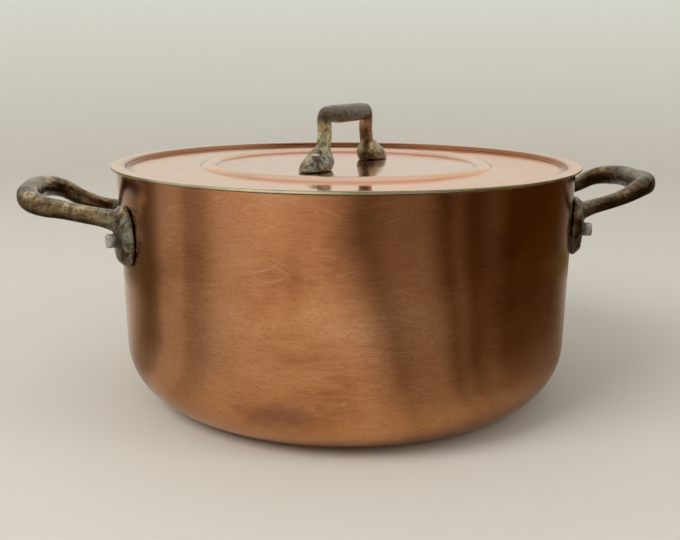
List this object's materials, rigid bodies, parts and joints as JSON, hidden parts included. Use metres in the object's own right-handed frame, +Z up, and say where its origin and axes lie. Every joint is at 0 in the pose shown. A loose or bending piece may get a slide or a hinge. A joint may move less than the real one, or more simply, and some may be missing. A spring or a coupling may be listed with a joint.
{
  "type": "lidded copper stockpot",
  "caption": "Round copper stockpot with cast bail handles riveted to its sides and a lift-off flanged lid with its own riveted handle.",
  "frame": {"origin": "centre of the flat base, on the surface that the pot stands on", "axes": "+Z up, the two side handles lie on -X and +X"},
  "size_m": [0.339, 0.246, 0.1541],
  "materials": {
    "copper_body": "polished copper with fine round scratches, tinned inside",
    "copper_lid": "bright polished copper",
    "bronze": "cast bronze, dark brown with green-grey patina",
    "rivet_metal": "dull grey"
  },
  "bodies": {
    "pot": {"pot_body": "copper_body", "right_handle": "bronze", "left_handle": "bronze", "right_handle_rivet_a": "rivet_metal", "right_handle_rivet_b": "rivet_metal", "left_handle_rivet_a": "rivet_metal", "left_handle_rivet_b": "rivet_metal"},
    "lid": {"lid_pan": "copper_lid", "lid_handle": "bronze", "lid_rivet_a": "rivet_metal", "lid_rivet_b": "rivet_metal"}
  },
  "joints": [
    {"name": "lid_lift", "type": "slide", "parent": "pot", "child": "lid", "axis": [0, 0, 1], "range_m": [0, 0.18]}
  ]
}
